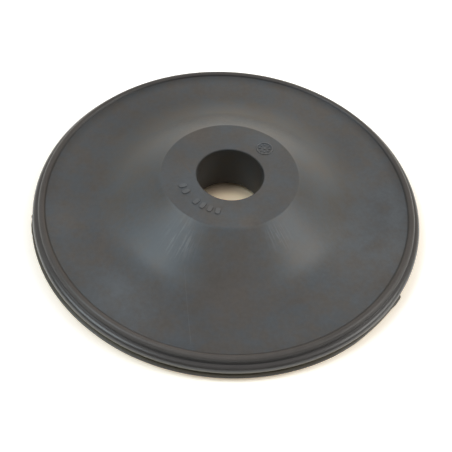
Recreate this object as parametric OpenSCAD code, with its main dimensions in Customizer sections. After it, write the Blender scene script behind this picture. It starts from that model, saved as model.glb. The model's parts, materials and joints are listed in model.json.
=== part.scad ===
// Pump diaphragm: a one-piece moulded rubber disc with a raised, bored hub, a flat web
// and a rim with one sealing bead on top, a round outer edge and a small rib round its foot.
// The rim stands on z = 0 and the bore runs along the Z axis. Millimetres.

/* [Disc] */
// Diameter over the round outer edge, the widest part
outer_d = 136; // [125:0.1:160]
// Thickness of the flat web between the hub and the rim
web_t = 5; // [4:0.1:7]
// Height of the web's underside above the foot of the rim
web_lift = 2.6; // [2.3:0.1:4]

/* [Hub] */
// Diameter of the flat on top of the hub
hub_d = 47; // [40:1:52]
// Height of the hub's top above the flat of the web
hub_rise = 12.5; // [9:0.1:14]
// Slope of the hub's flank, in degrees from the flat of the web
flank_angle = 31.5; // [28:0.5:40]
// Radius that blends the flank into the web
flank_blend_r = 25; // [10:1:30]
// Rounding of the edge between the hub's top and its flank
hub_edge_r = 0.8; // [0.3:0.1:2]

/* [Bore] */
// Diameter of the bore through the hub
bore_d = 23; // [16:0.5:30]
// Rounding of the bore's edge at both ends
bore_edge_r = 0.4; // [0.2:0.1:1]

/* [Rim] */
// Width of the foot of the rim, measured inwards from the widest part
rim_w = 7.5; // [6:0.1:10]
// Radius in the corner between the foot of the rim and the underside of the web
rim_corner_r = 1.8; // [0.5:0.1:2.1]
// Rounding of the inner edge of the foot of the rim
foot_edge_r = 0.4; // [0.2:0.1:0.7]
// Radius of the sealing bead's round section
bead_r = 1.3; // [1.2:0.05:1.6]
// Height of the bead's crest above the flat of the web
bead_rise = 0.8; // [0.5:0.05:1.1]
// How far the bead's outside lies inwards of the widest part
bead_inset = 2.15; // [1.7:0.05:2.6]
// Radius in the corner between the bead and the flat of the web
bead_corner_r = 0.35; // [0.2:0.05:1]
// Radius of the round outer edge
edge_r = 1.9; // [1.6:0.05:2.2]
// Depth of the middle of the round outer edge below the flat of the web
edge_drop = 3.2; // [2.9:0.1:3.5]
// Radius of the hollow between the bead and the round outer edge
bead_hollow_r = 0.6; // [0.3:0.05:1]
// Radius of the rib round the foot of the rim
foot_rib_r = 0.95; // [0.7:0.05:1.1]
// How far the foot's rib lies inwards of the widest part
foot_rib_inset = 0.5; // [0:0.05:1]
// Radius of the hollow between the round outer edge and the foot's rib
foot_hollow_r = 0.4; // [0.2:0.05:0.8]

/* [Hidden] */
$fn = 160;

web_top = web_lift + web_t;
hub_top = web_top + hub_rise;
bore_r = bore_d/2;
hub_r = hub_d/2;
// Where the straight flank would meet the flat of the web
flank_foot_r = hub_r + hub_rise/tan(flank_angle);
outer_r = outer_d/2;
rim_in_r = outer_r - rim_w;

// Middles of the three rounds of the rim's section
bead_c = [outer_r - bead_inset - bead_r, web_top + bead_rise - bead_r];
edge_c = [outer_r - edge_r, web_top - edge_drop];
foot_c = [outer_r - foot_rib_inset - foot_rib_r, foot_rib_r];

// Radius and middle of an arc that touches two rounds, on the right of the way from one to two
function hollow_r(one, one_r, two, two_r, r) = max(r, 0.6*(norm(two - one) - one_r - two_r));
function hollow_c(one, one_r, two, two_r, r) =
    let (across = norm(two - one), along = (two - one)/across)
    let (reach = (across*across + pow(one_r + r, 2) - pow(two_r + r, 2))/(2*across))
    one + reach*along + sqrt(pow(one_r + r, 2) - reach*reach)*[along.y, -along.x];

bead_hollow = hollow_r(edge_c, edge_r, bead_c, bead_r, bead_hollow_r);
bead_hollow_c = hollow_c(edge_c, edge_r, bead_c, bead_r, bead_hollow);
foot_hollow = hollow_r(foot_c, foot_rib_r, edge_c, edge_r, foot_hollow_r);
foot_hollow_c = hollow_c(foot_c, foot_rib_r, edge_c, edge_r, foot_hollow);

function unit(angle) = [cos(angle), sin(angle)];

// Sliver between two straight edges that leave a corner and the arc tangent to both
module corner_sliver(corner, angle_a, angle_b, r) {
    half = (angle_b - angle_a)/2;
    reach = r/tan(half);
    centre = corner + r/sin(half)*unit(angle_a + half);
    difference() {
        polygon([corner, corner + reach*unit(angle_a), centre, corner + reach*unit(angle_b)]);
        translate(centre) circle(r);
    }
}

// Sliver between the flat of the web and the inner side of the bead
module bead_foot_sliver(r) {
    rise = web_top + r - bead_c.y;
    centre = [bead_c.x - sqrt(pow(bead_r + r, 2) - rise*rise), web_top + r];
    difference() {
        polygon([[centre.x, web_top], bead_c, centre]);
        translate(centre) circle(r);
    }
}

// Straight-edged half section, before any rounding
module section_blank() {
    polygon([
        [bore_r, web_lift], [rim_in_r, web_lift], [rim_in_r, 0], [foot_c.x, 0], foot_c, foot_hollow_c, edge_c,
        bead_hollow_c, bead_c, [bead_c.x, web_top], [flank_foot_r, web_top], [hub_r, hub_top], [bore_r, hub_top]
    ]);
}

// Half section through one side of the diaphragm, X outwards from the axis
module section() {
    difference() {
        union() {
            section_blank();
            translate(bead_c) circle(bead_r);
            translate(edge_c) circle(edge_r);
            translate(foot_c) circle(foot_rib_r);
            bead_foot_sliver(bead_corner_r);
            corner_sliver([flank_foot_r, web_top], 0, 180 - flank_angle, flank_blend_r);
            corner_sliver([rim_in_r, web_lift], 180, 270, rim_corner_r);
        }
        translate(bead_hollow_c) circle(bead_hollow);
        translate(foot_hollow_c) circle(foot_hollow);
        corner_sliver([hub_r, hub_top], 180, 360 - flank_angle, hub_edge_r);
        corner_sliver([bore_r, hub_top], 270, 360, bore_edge_r);
        corner_sliver([bore_r, web_lift], 0, 90, bore_edge_r);
        corner_sliver([rim_in_r, 0], 0, 90, foot_edge_r);
    }
}

module diaphragm() {
    color("#383634") rotate_extrude() section();
}

diaphragm();
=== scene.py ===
import json
import math

import bpy
from bpy.props import FloatProperty, FloatVectorProperty, IntProperty, PointerProperty
from mathutils import Matrix, Vector

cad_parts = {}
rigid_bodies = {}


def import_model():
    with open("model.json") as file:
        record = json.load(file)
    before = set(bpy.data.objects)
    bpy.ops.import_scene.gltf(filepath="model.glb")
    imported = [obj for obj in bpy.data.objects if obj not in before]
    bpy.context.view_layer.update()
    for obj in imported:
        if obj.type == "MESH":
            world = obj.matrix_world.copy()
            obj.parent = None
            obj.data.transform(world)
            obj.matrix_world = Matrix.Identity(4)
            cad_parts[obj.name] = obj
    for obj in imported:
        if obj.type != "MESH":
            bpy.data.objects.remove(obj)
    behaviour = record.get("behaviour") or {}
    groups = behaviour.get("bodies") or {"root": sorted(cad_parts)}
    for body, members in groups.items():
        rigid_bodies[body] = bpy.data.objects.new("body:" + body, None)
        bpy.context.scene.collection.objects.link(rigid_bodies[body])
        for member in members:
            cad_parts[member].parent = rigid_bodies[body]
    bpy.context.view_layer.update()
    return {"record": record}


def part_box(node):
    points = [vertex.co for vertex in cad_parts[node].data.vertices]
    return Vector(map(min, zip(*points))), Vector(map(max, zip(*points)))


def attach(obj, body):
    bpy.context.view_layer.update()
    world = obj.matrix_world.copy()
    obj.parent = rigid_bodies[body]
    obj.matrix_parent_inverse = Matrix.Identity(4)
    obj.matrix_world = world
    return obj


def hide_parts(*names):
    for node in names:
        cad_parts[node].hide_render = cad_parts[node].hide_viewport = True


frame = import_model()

bl_info = {
    "name": "Pump Diaphragm",
    "version": (1, 0, 0),
    "blender": (4, 5, 0),
    "location": "3D View > Sidebar > Diaphragm",
    "description": "Moulded rubber diaphragm with a bored hub and a beaded rim, on a white table",
    "category": "Object",
}

MM = 0.001
LOW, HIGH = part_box("diaphragm")
MOUNTS = {mount["name"]: mount for mount in frame["record"]["mounts"]}
BODY, SLOT = "root", "rubber"


def size(name, about, default, **more):
    """A length property, in metres."""
    return FloatProperty(name=name, description=about, default=default, subtype="DISTANCE", unit="LENGTH",
                         precision=5, **more)


def turn(name, about, degrees):
    """An angle property, stored in radians."""
    return FloatProperty(name=name, description=about, default=math.radians(degrees), subtype="ANGLE",
                         unit="ROTATION")


def tint(name, about, default):
    """A linear colour property."""
    return FloatVectorProperty(name=name, description=about, default=default, size=3, subtype="COLOR",
                               min=0.0, max=1.0)


def amount(name, about, default, **more):
    """A plain number property that is never below 0."""
    return FloatProperty(name=name, description=about, default=default, min=0.0, **more)


class BodySizes(bpy.types.PropertyGroup):
    """Sizes of the moulded body's section."""

    outer_radius: size("Outer Radius", "Radius over the round outer edge",
                       max(HIGH.x, HIGH.y, -LOW.x, -LOW.y))
    bore_radius: size("Bore Radius", "Radius of the bore through the hub",
                      MOUNTS["bore"]["dims"]["r_mm"] * MM)
    bore_edge: size("Bore Edge", "Rounding of the bore's edge at both ends", 0.4 * MM)
    underside: size("Underside", "Height of the web's underside", MOUNTS["underside"]["pos_m"][2])
    web_top: size("Web Top", "Height of the flat of the web", 7.6 * MM)
    hub_top: size("Hub Top", "Height of the top of the hub", MOUNTS["hub_top"]["pos_m"][2])
    hub_radius: size("Hub Radius", "Radius of the flat on top of the hub", 23.5 * MM)
    hub_edge: size("Hub Edge", "Rounding between the hub's top and its flank", 0.8 * MM)
    flank_angle: turn("Flank Angle", "Slope of the hub's flank", 31.5)
    flank_blend: size("Flank Blend", "Radius that blends the flank into the web", 25 * MM)
    rim_width: size("Rim Width", "Width of the foot of the rim", 7.5 * MM)
    rim_corner: size("Rim Corner", "Radius between the foot of the rim and the underside", 1.8 * MM)
    foot_edge: size("Foot Edge", "Rounding of the foot's inner edge", 0.4 * MM)
    bead_radius: size("Bead Radius", "Radius of the sealing bead's section", 1.3 * MM)
    bead_rise: size("Bead Rise", "Height of the bead above the flat of the web", 0.8 * MM)
    bead_inset: size("Bead Inset", "How far the bead's outside lies inwards of the widest part", 2.15 * MM)
    bead_corner: size("Bead Corner", "Radius between the bead and the flat of the web", 0.35 * MM)
    bead_hollow: size("Bead Hollow", "Radius between the bead and the round outer edge", 0.6 * MM)
    edge_radius: size("Edge Radius", "Radius of the round outer edge", 1.9 * MM)
    edge_drop: size("Edge Drop", "Depth of the middle of the outer edge below the flat of the web", 3.2 * MM)
    foot_rib: size("Foot Rib", "Radius of the rib round the foot of the rim", 0.95 * MM)
    foot_inset: size("Foot Inset", "How far the foot's rib lies inwards of the widest part", 0.5 * MM)
    foot_hollow: size("Foot Hollow", "Radius between the outer edge and the foot's rib", 0.4 * MM)
    steps: IntProperty(name="Steps Round", description="Number of faces round the axis", default=256, min=64)
    crease: turn("Crease", "Edges that turn by more than this stay sharp", 32)


class FlashSizes(bpy.types.PropertyGroup):
    """Sizes of the film left at the mould's parting line."""

    start: turn("Start", "Angle at which the film starts", -171.4)
    sweep: turn("Sweep", "Angle over which the film runs", 144.1)
    level: size("Level", "Height of the film", 2.1 * MM)
    root: size("Root", "How far the film's root lies inwards of the widest part", 1.8 * MM)
    inset: size("Inset", "How far the film lies inwards where it is torn off short", 0.9 * MM)
    reach: size("Reach", "How far the film comes out from there at its widest", 1.6 * MM)
    hold: size("Hold", "Depth of the film at its root that keeps its place", 0.2 * MM)
    thickness: size("Thickness", "Thickness of the film's rounded edge", 0.9 * MM)
    droop: turn("Droop", "Slope of the film's upper side", 18)
    ragged: size("Raggedness", "How far the torn edge wanders", 0.2 * MM)
    steps: IntProperty(name="Steps", description="Number of faces along the film", default=720, min=100)


class MarkSizes(bpy.types.PropertyGroup):
    """Sizes of the plain moulded pips and the ring on top of the hub."""

    row_radius: size("Row Radius", "Radius of the row of pips", 17.1 * MM)
    row_start: turn("Row Start", "Angle of the first pip", 205)
    row_sweep: turn("Row Sweep", "Angle from the first pip to the last", 55)
    row_count: IntProperty(name="Row Count", description="Places in the row", default=7, min=2)
    row_gap: IntProperty(name="Row Gap", description="Place in the row that stays bare", default=2, min=0)
    pip_length: size("Pip Length", "Length of a pip, along the radius", 3.3 * MM)
    pip_width: size("Pip Width", "Width of a pip", 1.9 * MM)
    relief: size("Relief", "Height of the pips and the ring", 0.32 * MM)
    ring_radius: size("Ring Radius", "Radius of the ring", 2.7 * MM)
    ring_place: size("Ring Place", "Distance of the ring from the axis", 17.4 * MM)
    ring_angle: turn("Ring Angle", "Angle of the ring round the axis", 50)
    ring_ticks: IntProperty(name="Ring Ticks", description="Short bars inside the ring", default=8, min=3)


class RubberFinish(bpy.types.PropertyGroup):
    """Colours and gloss of the rubber."""

    cool: tint("Cool Black", "Colour of the bluish patches", (0.061, 0.067, 0.073))
    warm: tint("Warm Black", "Colour of the brownish patches", (0.078, 0.069, 0.061))
    bead: tint("Bead", "Colour of the sealing bead", (0.063, 0.055, 0.050))
    edge: tint("Edge", "Colour of the round outer edge", (0.042, 0.037, 0.034))
    # Painted reflection: the tan band on the outer edge's lower half stands in for the warm table mirrored there.
    low: tint("Low Edge", "Colour of the outer edge's lower half", (0.075, 0.062, 0.036))
    # Pale colour: painted highlight on the streaks where the lamps are mirrored on the slope and painted light on
    # the web towards each lamp; it also makes the hub's flat top and the marks' tops paler.
    pale_streaks_and_painted_light: tint("Bloom", "Colour of the pale streaks and dust", (0.150, 0.155, 0.160))
    rust: tint("Rust", "Colour of the brown stains", (0.095, 0.070, 0.052))
    gloss: amount("Roughness", "Mean roughness of the surface", 0.42, max=1.0, subtype="FACTOR")
    polish: amount("Rim Roughness", "Roughness of the smooth skin of the rim", 0.25, max=1.0, subtype="FACTOR")
    grain: size("Grain", "Depth of the fine moulded grain", 0.012 * MM)


class StageSetup(bpy.types.PropertyGroup):
    """Camera, lamps and table."""

    view_height: turn("View Height", "Angle of the camera above the table", 51.08)
    view_roll: turn("View Roll", "Turn of the camera about its own axis", 5.09)
    distance: size("Distance", "Distance from the camera to the middle of the web", 316.29 * MM)
    aim_right: size("Aim Right", "How far the web's middle lies right of the picture's centre", 0.747 * MM)
    aim_up: size("Aim Up", "How far the web's middle lies above the picture's centre", 9.866 * MM)
    lens: amount("Lens", "Focal length of the camera", 71.68, unit="CAMERA")
    lamp_left: amount("Left Lamp", "Power of the left lamp", 0.85, unit="POWER")
    left_tint: tint("Left Tint", "Colour of the left lamp", (0.82, 0.95, 1.0))
    lamp_right: amount("Right Lamp", "Power of the right lamp", 0.8, unit="POWER")
    right_tint: tint("Right Tint", "Colour of the right lamp", (0.98, 1.0, 0.97))
    lamp_back: amount("Back Lamp", "Power of the low lamp behind", 1.3, unit="POWER")
    back_tint: tint("Back Tint", "Colour of the low lamp behind", (1.0, 0.8, 0.54))
    window_left: amount("Left Window", "Brightness of the window behind the left lamp", 4.2)
    window_right: amount("Right Window", "Brightness of the window behind the right lamp", 3.8)
    ceiling: tint("Ceiling", "Light from overhead", (0.50, 0.475, 0.485))
    wall_back: tint("Back Wall", "Light from low down behind the object", (0.74, 0.70, 0.60))
    wall_front: tint("Front Wall", "Light from low down on the camera's side", (0.03, 0.03, 0.03))
    table: tint("Table", "Colour of the table", (0.90, 0.95, 1.0))
    # The tint under the part is a painted shadow colour; as the added light it is an even glow.
    table_tint: tint("Table Tint", "Colour under the part and of the light added to the table", (1.0, 0.82, 0.58))
    table_glow: amount("Table Glow", "Strength of the light added to the table where it is seen", 0.36)


class Wire:
    """One socket of a node tree. Arithmetic on it adds Math nodes."""

    def __init__(self, tree, socket=None):
        self.tree = tree
        self.socket = socket

    def add(self, kind, settings=None, inputs=None, out=0):
        """Adds a node: its type, its settings, its sockets' values or links, and the output to go on with."""
        node = self.tree.nodes.new(kind)
        for name, value in (settings or {}).items():
            if name == "curve":
                points = node.mapping.curves[0].points
                while len(points) < len(value):
                    points.new(0.5, 0.5)
                for point, place in zip(points, value):
                    point.location = place
                    point.handle_type = "VECTOR"
                node.mapping.update()
            else:
                setattr(node, name, value)
        for name, value in (inputs or {}).items():
            for one in value if isinstance(value, tuple) and isinstance(value[0], Wire) else (value,):
                if isinstance(one, Wire):
                    self.tree.links.new(one.socket, node.inputs[name])
                else:
                    node.inputs[name].default_value = one
        return Wire(self.tree, node.outputs[out] if node.outputs else None)

    def other(self, name):
        """Another output of the same node."""
        return Wire(self.tree, self.socket.node.outputs[name])

    def math(self, operation, *values):
        """A Math node on these values."""
        return self.add("ShaderNodeMath", {"operation": operation}, dict(enumerate(values)))

    def __add__(self, value):
        return self.math("ADD", self, value)

    __radd__ = __add__

    def __sub__(self, value):
        return self.math("SUBTRACT", self, value)

    def __rsub__(self, value):
        return self.math("SUBTRACT", value, self)

    def __mul__(self, value):
        return self.math("MULTIPLY", self, value)

    __rmul__ = __mul__

    def __truediv__(self, value):
        return self.math("DIVIDE", self, value)

    def between(self, low, high):
        """0 below low and 1 above high, with a smooth step from one to the other."""
        return self.add("ShaderNodeMapRange", {"interpolation_type": "SMOOTHSTEP"},
                        {"Value": self, "From Min": low, "From Max": high})

    def band(self, middle, half, soft):
        """1 within half of middle, fading to 0 over soft."""
        return 1 - self.math("ABSOLUTE", self - middle).between(half - soft / 2, half + soft / 2)

    def blend(self, first, second):
        """A colour from first to second, with this wire as the factor."""
        return self.add("ShaderNodeMix", {"data_type": "RGBA"}, {0: self, 6: first, 7: second}, out=2)


def vec4(colour):
    """A colour with an alpha of 1."""
    return (*colour, 1.0)


def noise(place, scale, detail=2.0, rough=0.5):
    """A noise from 0 to 1 at a place; scale is in repeats per metre."""
    return place.add("ShaderNodeTexNoise", None,
                     {"Vector": place, "Scale": scale, "Detail": detail, "Roughness": rough})


def spot(x, y, degrees, away, reach):
    """1 at a place, by its angle and its distance from the axis, fading to 0 at reach; in millimetres."""
    a = math.radians(degrees)
    across, up = x - away * MM * math.cos(a), y - away * MM * math.sin(a)
    return 1 - x.math("SQRT", across * across + up * up).between(0.1 * reach * MM, reach * MM)


def stroke(x, y, begin, end, half):
    """1 on a straight stroke between two places, each an angle and a distance, fading beside it."""
    ends = [Vector((math.cos(math.radians(a)), math.sin(math.radians(a)))) * r * MM for a, r in (begin, end)]
    along = (ends[1] - ends[0]).normalized()
    middle = (ends[0] + ends[1]) / 2
    across, up = x - middle.x, y - middle.y
    beside = (across * along.y - up * along.x).band(0.0, half * MM / 2, half * MM)
    return beside * (across * along.x + up * along.y).band(0.0, (ends[1] - ends[0]).length / 2, 2 * MM)


def areas(x, y, places):
    """The sum of several spots, each with its strength."""
    total = 0.0
    for degrees, away, reach, strength in places:
        total = spot(x, y, degrees, away, reach) * strength + total
    return total


# Soft areas of the rubber: angle in degrees, distance from the axis and reach in millimetres, strength.
# The brown and blue areas are stains and tone. The streaked areas are flow lines painted pale as highlight
# where the lamps are mirrored; the lamp-light and light areas are painted light; the shade areas are painted
# shade.
BROWN_AREAS = ((275, 40, 18, 0.28), (128, 21.5, 9, 0.45), (290, 22, 5, 0.4), (295.5, 27.8, 0.5, 1.0))
BLUE_AREAS = ((237, 34, 16, 0.5), (232, 58, 18, 0.4), (0, 58, 24, 0.4), (205, 18, 12, 0.4))
STREAKS_IN_HIGHLIGHT_AREAS = ((242, 30, 9, 1.0), (308, 28.5, 6, 0.8))
PAINTED_LAMP_LIGHT_AREAS = ((238, 57, 26, 1.0), (348, 57, 42, 1.0))
PAINTED_SHADE_AREAS = ((135, 45, 50, 0.24), (0, 46, 18, 0.16), (268, 48, 26, 0.12), (180, 55, 18, 0.1))
PAINTED_LIGHT_AREAS = ((210, 38, 13, 0.2), (95, 39, 13, 0.16))


def rubber(finish):
    """The mottled black rubber, made once and shared by every piece."""
    material = bpy.data.materials.get("rubber_black")
    if material:
        return material
    material = bpy.data.materials.new("rubber_black")
    material.use_nodes = True
    tree = material.node_tree
    tree.nodes.clear()
    place = Wire(tree).add("ShaderNodeTexCoord", out="Object")
    x = place.add("ShaderNodeSeparateXYZ", None, {0: place})
    y, z = x.other("Y"), x.other("Z")
    radius = place.math("SQRT", x * x + y * y)
    angle = place.math("ARCTAN2", y, x)

    patches = noise(place, 140.0, 7.0, 0.74)
    clouds = noise(place, 70.0, 7.0, 0.72).between(0.3, 0.7)
    speckle = noise(place, 700.0, 3.0, 0.7).between(0.3, 0.7)
    polar = place.add("ShaderNodeCombineXYZ", None, {"X": angle * 0.05, "Y": radius * 0.12, "Z": 0.3})
    combed = noise(polar, 900.0, 3.0, 0.6)

    # Parts of the surface, told apart by radius and height
    rim = radius.between(63.2 * MM, 63.7 * MM)
    bead = radius.between(62.9 * MM, 63.4 * MM) * (1 - radius.between(65.8 * MM, 66.4 * MM))
    bead = bead * z.between(6.0 * MM, 6.8 * MM)
    # Painted shade in the crease at the bead's inner foot.
    crease = radius.band(63.45 * MM, 0.25 * MM, 0.5 * MM) * z.between(7.0 * MM, 7.5 * MM)
    # Painted shade in the hollow between the bead and the outer edge, strongest at the front; it is also rougher
    # and loses the coat there.
    painted_groove_shade = radius.between(65.3 * MM, 66.1 * MM) * (1 - radius.between(66.15 * MM, 66.4 * MM))
    painted_groove_shade = painted_groove_shade * z.between(6.0 * MM, 6.3 * MM) * (0.3 + spot(x, y, 275, 66, 60) * 0.7)
    # Lower half of the outer edge, which gets the tan painted reflection of the table.
    low = rim * z.between(2.2 * MM, 2.8 * MM) * (1 - z.between(4.2 * MM, 5.0 * MM))
    # Bore wall: darkened as painted shade, and made rougher.
    wall = 1 - radius.between(11.6 * MM, 12.0 * MM)
    upper = z.between(4.0 * MM, 6.0 * MM)
    plateau = z.between(19.5 * MM, 20.0 * MM)
    raised = z.between(20.25 * MM, 20.4 * MM)
    # Painted shade on the web just inside the bead, deeper towards the back.
    painted_bead_shade = radius.between(58.5 * MM, 63.0 * MM) * (1 - rim) * (0.07 + y.between(-20 * MM, 40 * MM) * 0.2)

    brown = (areas(x, y, BROWN_AREAS) + stroke(x, y, (185, 13.3), (157, 21.3), 0.5) * 0.6) * upper
    blue = areas(x, y, BLUE_AREAS) * upper
    # Fine flow lines painted pale only where the lamps are mirrored on the slope: real streaks with painted
    # highlight.
    streaks_and_painted_highlight = areas(x, y, STREAKS_IN_HIGHLIGHT_AREAS) * combed.between(0.5, 0.62)
    streaks_and_painted_highlight = (streaks_and_painted_highlight + stroke(x, y, (251, 37), (263, 61), 0.2) * 0.4) * upper
    # Painted light on the web towards each lamp, and a paler flat top of the hub.
    painted_lamp_light_and_pale_top = areas(x, y, PAINTED_LAMP_LIGHT_AREAS) * (0.5 + clouds) * (1 - rim) + plateau * 0.6

    cooler = (patches + blue * 0.25 - brown * 0.25).between(0.34, 0.66)
    tone = cooler.blend(vec4(finish.warm), vec4(finish.cool))
    tone = (brown * clouds).blend(tone, vec4(finish.rust))
    tone = rim.blend(tone, bead.blend(low.blend(vec4(finish.edge), vec4(finish.low)), vec4(finish.bead)))
    tone = (streaks_and_painted_highlight * 0.55 + painted_lamp_light_and_pale_top * 0.15 + raised * 0.22).blend(tone, vec4(finish.pale_streaks_and_painted_light))

    # Painted shade and painted light across the web, with the painted shade inside the bead.
    painted_shade_and_light = areas(x, y, PAINTED_SHADE_AREAS) - areas(x, y, PAINTED_LIGHT_AREAS) + painted_bead_shade
    level = (0.87 + clouds * 0.2 + speckle * (0.13 - rim * 0.08)) * (1 - painted_shade_and_light * upper)
    level = level * (1 - wall * 0.5) * (1 - crease * 0.5) * (1 - painted_groove_shade * 0.75)
    # Painted highlight: the bead is lighter along the front.
    level = level * (1 + bead * spot(x, y, 262, 64, 55) * 0.3)
    tone = tone.add("ShaderNodeVectorMath", {"operation": "SCALE"}, {0: tone, "Scale": level})

    grain = noise(place, 1500.0, 3.0, 0.6) * (1 - rim * 0.7)
    shader = place.add("ShaderNodeBsdfPrincipled", None, {
        "Base Color": tone,
        "Roughness": finish.gloss - 0.08 + clouds * 0.05 + speckle * 0.06 + wall * 0.2 + painted_groove_shade * 0.25,
        "Coat Weight": (rim - bead - painted_groove_shade).between(0.0, 1.0) * 0.45,
        "Coat Roughness": finish.polish, "Coat IOR": 1.6,
        "Normal": place.add("ShaderNodeBump", None, {
            "Strength": 0.6, "Distance": finish.grain, "Height": grain}),
    })
    place.add("ShaderNodeOutputMaterial", None, {"Surface": shader})
    return material


def arc(centre, radius, start, end, step=8.0):
    """Points of an arc from one angle to another, in degrees, both ends included."""
    count = max(2, math.ceil(abs(end - start) / step))
    angles = [math.radians(start + (end - start) * i / count) for i in range(count + 1)]
    return [Vector((centre[0] + radius * math.cos(a), centre[1] + radius * math.sin(a))) for a in angles]


def straight(start, end, edge=0.2 * MM, longest=4 * MM):
    """Points strictly between two ends, with one close to each end so that flats stay flat."""
    start, end = Vector(start), Vector(end)
    length = (end - start).length
    if length < 4 * edge:
        return []
    count = max(1, math.ceil((length - 2 * edge) / longest))
    places = [edge + (length - 2 * edge) * i / count for i in range(count + 1)]
    return [start.lerp(end, place / length) for place in places]


def bearing(point, centre):
    """Angle in degrees from a centre to a point."""
    return math.degrees(math.atan2(point[1] - centre[1], point[0] - centre[0]))


def touching(one, one_radius, two, two_radius, radius):
    """Middle of a hollow of this radius that touches two rounds, on the right of the way from one to two."""
    along = (two - one).normalized()
    first, second, gap = one_radius + radius, two_radius + radius, (two - one).length
    reach = (gap * gap + first * first - second * second) / (2 * gap)
    return one + along * reach + Vector((along.y, -along.x)) * math.sqrt(first * first - reach * reach)


def section(s):
    """Closed half section of the body as points of radius and height, in order round the solid."""
    rim_in = s.outer_radius - s.rim_width
    slope = math.degrees(s.flank_angle)
    flank_foot = s.hub_radius + (s.hub_top - s.web_top) / math.tan(s.flank_angle)
    reach = s.flank_blend * math.tan(s.flank_angle / 2)
    hub_cut = s.hub_edge * math.tan(s.flank_angle / 2)

    bead = Vector((s.outer_radius - s.bead_inset - s.bead_radius, s.web_top + s.bead_rise - s.bead_radius))
    side = Vector((s.outer_radius - s.edge_radius, s.web_top - s.edge_drop))
    rib = Vector((s.outer_radius - s.foot_inset - s.foot_rib, s.foot_rib))

    points = arc((s.bore_radius + s.bore_edge, s.underside + s.bore_edge), s.bore_edge, 180, 270, 18)
    corner = arc((rim_in - s.rim_corner, s.underside - s.rim_corner), s.rim_corner, 90, 0, 12)
    points += straight(points[-1], corner[0]) + corner
    foot = arc((rim_in + s.foot_edge, s.foot_edge), s.foot_edge, 180, 270, 18)
    points += straight(corner[-1], foot[0], 0.1 * MM) + foot
    points += straight(foot[-1], (rib.x, 0.0))

    begin = -90.0
    for one, one_radius, two, two_radius, hollow_radius in (
            (rib, s.foot_rib, side, s.edge_radius, s.foot_hollow),
            (side, s.edge_radius, bead, s.bead_radius, s.bead_hollow)):
        hollow = touching(one, one_radius, two, two_radius, hollow_radius)
        leave, enter = bearing(hollow, one), bearing(hollow, two)
        points += arc(one, one_radius, begin, leave)
        points += arc(hollow, hollow_radius, leave + 180, enter + 180)[1:-1]
        begin = enter

    rise = s.web_top + s.bead_corner - bead.y
    run = math.sqrt((s.bead_radius + s.bead_corner) ** 2 - rise * rise)
    hollow = (bead.x - run, s.web_top + s.bead_corner)
    meet = bearing(hollow, bead)
    points += arc(bead, s.bead_radius, begin, meet)
    points += arc(hollow, s.bead_corner, meet - 180, -90)[1:]

    blend = arc((flank_foot + reach, s.web_top + s.flank_blend), s.flank_blend, 270, 270 - slope, 2.5)
    points += straight(points[-1], blend[0]) + blend
    edge = arc((s.hub_radius - hub_cut, s.hub_top - s.hub_edge), s.hub_edge, 90 - slope, 90, 6)
    points += straight(blend[-1], edge[0]) + edge
    lip = arc((s.bore_radius + s.bore_edge, s.hub_top - s.bore_edge), s.bore_edge, 90, 180, 18)
    points += straight(edge[-1], lip[0]) + lip
    points += straight(lip[-1], points[0])
    return points


def new_tree(name, sockets):
    """A geometry node tree with these inputs, and its group input to build from."""
    tree = bpy.data.node_groups.new(name, "GeometryNodeTree")
    for label, kind in sockets:
        tree.interface.new_socket(label, in_out="INPUT", socket_type="NodeSocket" + kind)
    tree.interface.new_socket("Geometry", in_out="OUTPUT", socket_type="NodeSocketGeometry")
    return tree, Wire(tree).add("NodeGroupInput")


def close_tree(shape, material, crease):
    """Ends a tree: sharp creases, real geometry, the material, the output."""
    turned = shape.add("GeometryNodeInputMeshEdgeAngle")
    smooth = shape.add("GeometryNodeSetShadeSmooth", {"domain": "FACE"}, {"Geometry": shape})
    smooth = smooth.add("GeometryNodeSetShadeSmooth", {"domain": "EDGE"}, {
        "Geometry": smooth, "Selection": turned.math("GREATER_THAN", turned, crease), "Shade Smooth": False})
    real = smooth.add("GeometryNodeRealizeInstances", None, {"Geometry": smooth})
    done = real.add("GeometryNodeSetMaterial", None, {"Geometry": real, "Material": material})
    done.add("NodeGroupOutput", None, {"Geometry": done})


def grow(name, tree, values, points=(), edges=()):
    """Runs a tree on a new object and gives the object with a plain mesh, riding on the body."""
    for old in [o for o in bpy.data.objects if o.name == name]:
        bpy.data.objects.remove(old)
    mesh = bpy.data.meshes.new(name)
    mesh.from_pydata(points, edges, [])
    piece = bpy.data.objects.new(name, mesh)
    bpy.context.scene.collection.objects.link(piece)
    modifier = piece.modifiers.new("Shape", "NODES")
    modifier.node_group = tree
    for item in tree.interface.items_tree:
        if item.in_out == "INPUT" and item.name in values:
            modifier[item.identifier] = values[item.name]
    evaluated = piece.evaluated_get(bpy.context.evaluated_depsgraph_get())
    grown = bpy.data.meshes.new_from_object(evaluated)
    if not grown.polygons:
        raise RuntimeError(f"{name} came out without faces")
    piece.modifiers.remove(modifier)
    piece.data = grown
    grown.name = name
    bpy.data.meshes.remove(mesh)
    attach(piece, BODY)
    return piece


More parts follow.
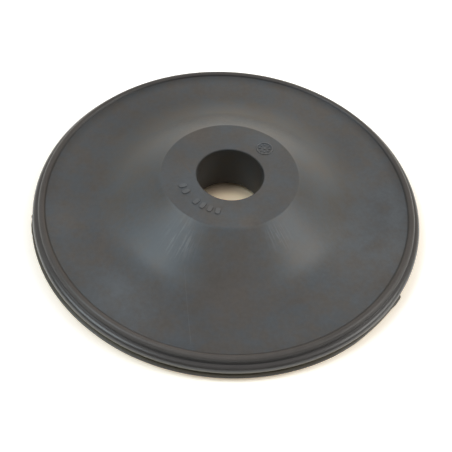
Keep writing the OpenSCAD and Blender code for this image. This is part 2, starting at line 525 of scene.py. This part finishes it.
class DIAPHRAGM_OT_body(bpy.types.Operator):
    """Sweep the half section round the axis to make the moulded body"""

    bl_idname = "diaphragm.body"
    bl_label = "Mould the Body"

    def execute(self, context):
        s = context.scene.diaphragm_body
        tree, start = new_tree("moulded_body", (
            ("Section", "Geometry"), ("Path Radius", "Float"), ("Steps", "Int"),
            ("Crease", "Float"), ("Rubber", "Material")))
        profile = start.add("GeometryNodeMeshToCurve", None, {"Mesh": start})
        path = start.add("GeometryNodeCurvePrimitiveCircle", None, {
            "Resolution": start.other("Steps"), "Radius": start.other("Path Radius")})
        path = path.add("GeometryNodeSetCurveNormal", {"mode": "Z_UP"}, {"Curve": path})
        swept = path.add("GeometryNodeCurveToMesh", None, {"Curve": path, "Profile Curve": profile})
        close_tree(swept, start.other("Rubber"), start.other("Crease"))

        outline = [(p.x - s.bore_radius, -p.y, 0.0) for p in reversed(section(s))]
        edges = [(i, (i + 1) % len(outline)) for i in range(len(outline))]
        piece = grow("moulded_body", tree, {
            "Path Radius": s.bore_radius, "Steps": s.steps, "Crease": s.crease,
            "Rubber": rubber(context.scene.diaphragm_finish)}, outline, edges)
        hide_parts("diaphragm")
        return {"FINISHED"}


# Width of the flash along its run, as shares of the sweep and of the reach
FLASH_EDGE = (
    (0.0, 0.5), (0.006, 0.93), (0.01, 0.96), (0.0153, 0.85), (0.019, 0.87), (0.0305, 1.0), (0.051, 1.0),
    (0.058, 0.95), (0.162, 0.98), (0.23, 0.95), (0.31, 0.9), (0.4, 0.94), (0.565, 0.92), (0.77, 0.92),
    (0.8, 0.9), (0.83, 0.84), (0.856, 0.78), (0.884, 0.64), (0.912, 0.6), (0.94, 0.58), (0.958, 0.62),
    (0.966, 0.7), (0.975, 0.84), (0.99, 0.84), (0.997, 0.78), (1.0, 0.3))


class DIAPHRAGM_OT_flash(bpy.types.Operator):
    """Leave a torn film of rubber under the round outer edge, where the mould parts"""

    bl_idname = "diaphragm.flash"
    bl_label = "Leave the Flash"

    def execute(self, context):
        body, s = context.scene.diaphragm_body, context.scene.diaphragm_flash
        tree, start = new_tree("parting_flash", (
            ("Section", "Geometry"), ("Path Radius", "Float"), ("Hold", "Float"),
            ("Level", "Float"), ("Start", "Float"), ("Sweep", "Float"),
            ("Reach", "Float"), ("Ragged", "Float"), ("Steps", "Int"),
            ("Crease", "Float"), ("Rubber", "Material")))
        path = start.add("GeometryNodeCurveArc", {"mode": "RADIUS"}, {
            "Resolution": start.other("Steps"), "Radius": start.other("Path Radius"),
            "Start Angle": start.other("Start"), "Sweep Angle": start.other("Sweep")})
        path = path.add("GeometryNodeSetCurveNormal", {"mode": "Z_UP"}, {"Curve": path})
        profile = path.add("GeometryNodeMeshToCurve", None, {"Mesh": start})
        film = path.add("GeometryNodeCurveToMesh", None, {
            "Curve": path, "Profile Curve": profile, "Fill Caps": True})

        place = film.add("GeometryNodeInputPosition")
        x = place.add("ShaderNodeSeparateXYZ", None, {0: place})
        y = x.other("Y")
        away = place.math("SQRT", x * x + y * y)
        outer = away.math("GREATER_THAN", away, start.other("Path Radius") + start.other("Hold"))
        along = (place.math("ARCTAN2", y, x) - start.other("Start")) / start.other("Sweep")
        edge = along.add("ShaderNodeFloatCurve", {"curve": FLASH_EDGE}, {"Value": along})
        torn = noise(place, 420.0, 4.0, 0.75) - 0.5
        push = outer * (edge * start.other("Reach") + torn * start.other("Ragged")) / away
        lift = start.other("Level") + outer * torn * start.other("Ragged")
        shift = place.add("ShaderNodeCombineXYZ", None, {"X": x * push, "Y": y * push, "Z": lift})
        film = film.add("GeometryNodeSetPosition", None, {"Geometry": film, "Offset": shift})
        close_tree(film, start.other("Rubber"), start.other("Crease"))

        half, depth, slope = s.thickness / 2, s.root - s.inset, math.degrees(s.droop)
        tip = arc((depth - half, 0.0), half, -90, 90 - slope, 18)
        rise = tip[-1].y + tip[-1].x * math.tan(s.droop)
        outline = [(p.x, -p.y, 0.0) for p in (Vector((0.0, rise)), *reversed(tip), Vector((0.0, -half)))]
        edges = [(i, (i + 1) % len(outline)) for i in range(len(outline))]
        grow("parting_flash", tree, {
            "Path Radius": body.outer_radius - s.root, "Hold": s.hold, "Level": s.level, "Start": s.start,
            "Sweep": s.sweep, "Reach": s.reach, "Ragged": s.ragged, "Steps": s.steps, "Crease": body.crease,
            "Rubber": rubber(context.scene.diaphragm_finish)}, outline, edges)
        return {"FINISHED"}


class DIAPHRAGM_OT_marks(bpy.types.Operator):
    """Raise the row of plain pips and the ticked ring on top of the hub"""

    bl_idname = "diaphragm.marks"
    bl_label = "Raise the Hub Marks"

    def execute(self, context):
        body, s = context.scene.diaphragm_body, context.scene.diaphragm_marks
        tree, start = new_tree("hub_marks", (
            ("Blank", "Geometry"), ("Hub Top", "Float"), ("Row Radius", "Float"),
            ("Row Start", "Float"), ("Row Sweep", "Float"), ("Row Count", "Int"),
            ("Row Gap", "Int"), ("Pip Length", "Float"), ("Pip Width", "Float"),
            ("Relief", "Float"), ("Ring Radius", "Float"), ("Ring Place", "Float"),
            ("Ring Angle", "Float"), ("Ring Ticks", "Int"), ("Crease", "Float"),
            ("Rubber", "Material")))
        pip = self.pip(start, start.other("Pip Length"), start.other("Pip Width"))
        row = start.add("GeometryNodeCurveArc", {"mode": "RADIUS"}, {
            "Resolution": start.other("Row Count"), "Radius": start.other("Row Radius"),
            "Start Angle": start.other("Row Start"), "Sweep Angle": start.other("Row Sweep")})
        row = row.add("GeometryNodeCurveToPoints", {"mode": "EVALUATED"}, {"Curve": row})
        index = row.add("GeometryNodeInputIndex")
        bare = index.math("COMPARE", index, start.other("Row Gap"), 0.5)
        row = row.add("GeometryNodeDeleteGeometry", {"domain": "POINT"}, {"Geometry": row, "Selection": bare})
        row = self.stand(row, pip)

        # Shares of the ring's radius
        tick_place, tick_length, tick_width, dot_length, dot_width = 0.62, 0.34, 0.17, 0.36, 0.34
        wire = 0.25 * MM
        reach = start.other("Ring Radius")
        ring = start.add("GeometryNodeCurvePrimitiveCircle", None, {
            "Resolution": 48, "Radius": reach})
        round_wire = ring.add("GeometryNodeCurvePrimitiveCircle", None, {"Resolution": 12, "Radius": wire})
        band = ring.add("GeometryNodeCurveToMesh", None, {"Curve": ring, "Profile Curve": round_wire})
        band = band.add("GeometryNodeTransform", None, {
            "Geometry": band, "Translation": self.upright(band, 2 * start.other("Relief") - wire)})
        inner = start.add("GeometryNodeCurvePrimitiveCircle", None, {
            "Resolution": start.other("Ring Ticks"), "Radius": reach * tick_place})
        inner = inner.add("GeometryNodeCurveToPoints", {"mode": "EVALUATED"}, {"Curve": inner})
        tick = self.pip(start, reach * tick_length, reach * tick_width)
        dot = self.pip(start, reach * dot_length, reach * dot_width)
        dial = ring.add("GeometryNodeJoinGeometry", None, {"Geometry": (band, self.stand(inner, tick), dot)})
        angle = start.other("Ring Angle")
        centre = start.add("ShaderNodeCombineXYZ", None, {
            "X": start.math("COSINE", angle) * start.other("Ring Place"),
            "Y": start.math("SINE", angle) * start.other("Ring Place")})
        dial = dial.add("GeometryNodeTransform", None, {"Geometry": dial, "Translation": centre})
        marks = dial.add("GeometryNodeJoinGeometry", None, {"Geometry": (row, dial)})
        marks = marks.add("GeometryNodeTransform", None, {
            "Geometry": marks,
            "Translation": self.upright(marks, start.other("Hub Top") - start.other("Relief"))})
        close_tree(marks, start.other("Rubber"), start.other("Crease"))

        grow("hub_marks", tree, {
            "Hub Top": body.hub_top, "Row Radius": s.row_radius, "Row Start": s.row_start,
            "Row Sweep": s.row_sweep, "Row Count": s.row_count, "Row Gap": s.row_gap,
            "Pip Length": s.pip_length, "Pip Width": s.pip_width, "Relief": s.relief,
            "Ring Radius": s.ring_radius, "Ring Place": s.ring_place, "Ring Angle": s.ring_angle,
            "Ring Ticks": s.ring_ticks, "Crease": body.crease,
            "Rubber": rubber(context.scene.diaphragm_finish)})
        return {"FINISHED"}

    def upright(self, wire, height):
        """A shift straight up."""
        return wire.add("ShaderNodeCombineXYZ", None, {"Z": height})

    def pip(self, start, length, width):
        """A closed oblong pip along X, twice as high as the relief, with sloping sides."""
        disc = start.add("GeometryNodeMeshCircle", {"fill_type": "NGON"}, {
            "Vertices": 18, "Radius": width * 0.5})
        place = disc.add("GeometryNodeInputPosition")
        x = place.add("ShaderNodeSeparateXYZ", None, {0: place})
        ends = x.add("ShaderNodeCombineXYZ", None, {"X": x.math("SIGN", x) * (length - width) * 0.5})
        disc = disc.add("GeometryNodeSetPosition", None, {"Geometry": disc, "Offset": ends})
        raised = disc.add("GeometryNodeExtrudeMesh", {"mode": "FACES"}, {
            "Mesh": disc, "Offset Scale": start.other("Relief") * 2})
        raised = raised.add("GeometryNodeScaleElements", {"domain": "FACE"}, {
            "Geometry": raised, "Selection": raised.other("Top"), "Scale": 0.8})
        under = disc.add("GeometryNodeFlipFaces", None, {"Mesh": disc})
        both = disc.add("GeometryNodeJoinGeometry", None, {"Geometry": (raised, under)})
        return both.add("GeometryNodeMergeByDistance", None, {"Geometry": both, "Distance": 0.001 * MM})

    def stand(self, points, pip):
        """A pip on each point, turned to lie along the radius."""
        place = points.add("GeometryNodeInputPosition")
        x = place.add("ShaderNodeSeparateXYZ", None, {0: place})
        turned = x.add("FunctionNodeAxisAngleToRotation", None, {
            "Axis": (0, 0, 1), "Angle": x.math("ARCTAN2", x.other("Y"), x)})
        return points.add("GeometryNodeInstanceOnPoints", None, {
            "Points": points, "Instance": pip, "Rotation": turned})


# Where the lights stand: the angle round the object and the height above the table, in degrees
LEFT, RIGHT, BACK = (197, 48), (-3, 37), (88, 11)


def toward(azimuth, height):
    """The direction to an angle round the object and a height above the table, in degrees."""
    a, h = math.radians(azimuth), math.radians(height)
    return Vector((math.cos(h) * math.cos(a), math.cos(h) * math.sin(a), math.sin(h)))


class DIAPHRAGM_OT_stage(bpy.types.Operator):
    """Set the table, the lamps, the room and the camera"""

    bl_idname = "diaphragm.stage"
    bl_label = "Set the Stage"

    def execute(self, context):
        s = context.scene.diaphragm_stage
        context.scene.view_settings.view_transform = "Standard"
        self.table(context.scene, s)
        self.room(context.scene, s)
        self.lamp(context.scene, "lamp_left", s.lamp_left, s.left_tint, *LEFT)
        self.lamp(context.scene, "lamp_right", s.lamp_right, s.right_tint, *RIGHT)
        self.lamp(context.scene, "lamp_back", s.lamp_back, s.back_tint, *BACK)
        self.camera(context.scene, s, context.scene.diaphragm_body.web_top)
        return {"FINISHED"}

    def table(self, scene, s):
        """A wide white floor just under the foot of the rim."""
        half, level = 12.0, -0.02 * MM
        mesh = bpy.data.meshes.new("table")
        corners = [(-half, -half, level), (half, -half, level), (half, half, level), (-half, half, level)]
        mesh.from_pydata(corners, [], [(0, 1, 2, 3)])
        table = bpy.data.objects.new("table", mesh)
        scene.collection.objects.link(table)
        material = bpy.data.materials.new("table_white")
        material.use_nodes = True
        material.node_tree.nodes.clear()
        rays = Wire(material.node_tree).add("ShaderNodeLightPath", out="Is Camera Ray")
        seen = rays.math("MAXIMUM", rays, rays.math("MAXIMUM", rays.other("Is Glossy Ray"),
                                                   rays.other("Is Transmission Ray")))
        x = rays.add("ShaderNodeTexCoord", out="Object")
        x = x.add("ShaderNodeSeparateXYZ", None, {0: x})
        radius = x.math("SQRT", x * x + x.other("Y") * x.other("Y"))
        # Painted shadow on the floor: the added light fades out under the part, and the floor under it is tinted
        # tan.
        under = radius.between(6 * MM, 12 * MM) * (1 - radius.between(55 * MM, 64 * MM))
        paper_with_painted_shadow = radius.between(60 * MM, 74 * MM).blend(vec4(s.table_tint), vec4(s.table))
        matt = rays.add("ShaderNodeBsdfDiffuse", None, {"Color": paper_with_painted_shadow})
        glow = rays.add("ShaderNodeVectorMath", {"operation": "SCALE"}, {
            0: tuple(s.table_tint), "Scale": seen * (1 - under) * s.table_glow})
        glow = rays.add("ShaderNodeEmission", None, {"Color": glow})
        both = rays.add("ShaderNodeAddShader", None, {0: matt, 1: glow})
        both.add("ShaderNodeOutputMaterial", None, {"Surface": both})
        mesh.materials.append(material)

    def room(self, scene, s):
        """The room, the same for every ray: ceiling, pale wall behind, dark wall in front, windows."""
        world = bpy.data.worlds.new("room")
        world.use_nodes = True
        world.node_tree.nodes.clear()
        way = Wire(world.node_tree).add("ShaderNodeTexCoord", out="Generated")
        way = way.add("ShaderNodeSeparateXYZ", None, {0: way})
        behind = way.other("Y").between(-0.1, 0.7)
        walls = behind.blend(vec4(s.wall_front), vec4(s.wall_back))
        glow = (way.other("Z") + behind * 0.2).between(0.35, 0.9).blend(walls, vec4(s.ceiling))
        windows = (LEFT, s.left_tint, s.window_left), (RIGHT, s.right_tint, s.window_right)
        for place, colour, power in windows:
            glow = glow.add("ShaderNodeVectorMath", {"operation": "ADD"}, {
                0: glow, 1: self.window(way, toward(*place), colour, power)})
        light = way.add("ShaderNodeBackground", None, {"Color": glow})
        light.add("ShaderNodeOutputWorld", None, {"Surface": light})
        scene.world = world

    def window(self, way, centre, colour, power, reach=15, soft=6):
        """A round bright patch of the room, which is what the glossy rubber mirrors."""
        facing = way * centre.x + way.other("Y") * centre.y + way.other("Z") * centre.z
        patch = facing.between(math.cos(math.radians(reach + soft)), math.cos(math.radians(reach - soft)))
        return way.add("ShaderNodeVectorMath", {"operation": "SCALE"}, {
            0: tuple(colour), "Scale": patch * power})

    def lamp(self, scene, name, power, colour, azimuth, height, distance=0.6, width=0.3):
        """A soft lamp that faces the object from an angle round it and a height above the table."""
        data = bpy.data.lights.new(name, "AREA")
        data.shape = "DISK"
        data.size = width
        data.energy = power
        data.color = colour
        away = toward(azimuth, height)
        lamp = bpy.data.objects.new(name, data)
        lamp.location = away * distance
        lamp.rotation_euler = away.to_track_quat("Z", "Y").to_euler()
        lamp.visible_glossy = False
        scene.collection.objects.link(lamp)

    def camera(self, scene, s, web_top):
        """The camera at the height, roll and distance of the photograph."""
        data = bpy.data.cameras.new("camera")
        data.sensor_width = 36.0
        data.lens = s.lens
        data.clip_start = 0.01
        level, tilted = Vector((1, 0, 0)), Vector((0, math.sin(s.view_height), math.cos(s.view_height)))
        right = level * math.cos(s.view_roll) + tilted * math.sin(s.view_roll)
        up = tilted * math.cos(s.view_roll) - level * math.sin(s.view_roll)
        back = right.cross(up)
        place = Vector((0, 0, web_top)) + back * s.distance - right * s.aim_right - up * s.aim_up
        camera = bpy.data.objects.new("camera", data)
        camera.matrix_world = Matrix.Translation(place) @ Matrix((right, up, back)).transposed().to_4x4()
        scene.collection.objects.link(camera)
        scene.camera = camera


class DIAPHRAGM_PT_panel(bpy.types.Panel):
    """Lists the steps and their sizes in the sidebar"""

    bl_idname = "DIAPHRAGM_PT_panel"
    bl_label = "Diaphragm"
    bl_space_type = "VIEW_3D"
    bl_region_type = "UI"
    bl_category = "Diaphragm"

    def draw(self, context):
        for step, groups in STEPS:
            self.layout.operator(step.bl_idname)
            for group in groups:
                sizes = getattr(context.scene, group)
                for name in sizes.__annotations__:
                    self.layout.prop(sizes, name)


STEPS = (
    (DIAPHRAGM_OT_body, ("diaphragm_body", "diaphragm_finish")),
    (DIAPHRAGM_OT_flash, ("diaphragm_flash",)),
    (DIAPHRAGM_OT_marks, ("diaphragm_marks",)),
    (DIAPHRAGM_OT_stage, ("diaphragm_stage",)),
)
GROUPS = {
    "diaphragm_body": BodySizes,
    "diaphragm_flash": FlashSizes,
    "diaphragm_marks": MarkSizes,
    "diaphragm_finish": RubberFinish,
    "diaphragm_stage": StageSetup,
}
CLASSES = (*GROUPS.values(), *(step for step, groups in STEPS), DIAPHRAGM_PT_panel)


def register():
    for cls in CLASSES:
        bpy.utils.register_class(cls)
    for name, group in GROUPS.items():
        setattr(bpy.types.Scene, name, PointerProperty(type=group))


def unregister():
    for name in GROUPS:
        delattr(bpy.types.Scene, name)
    for cls in reversed(CLASSES):
        bpy.utils.unregister_class(cls)


def main():
    register()
    bpy.ops.diaphragm.body()
    bpy.ops.diaphragm.flash()
    bpy.ops.diaphragm.marks()
    bpy.ops.diaphragm.stage()


if __name__ == "__main__":
    main()
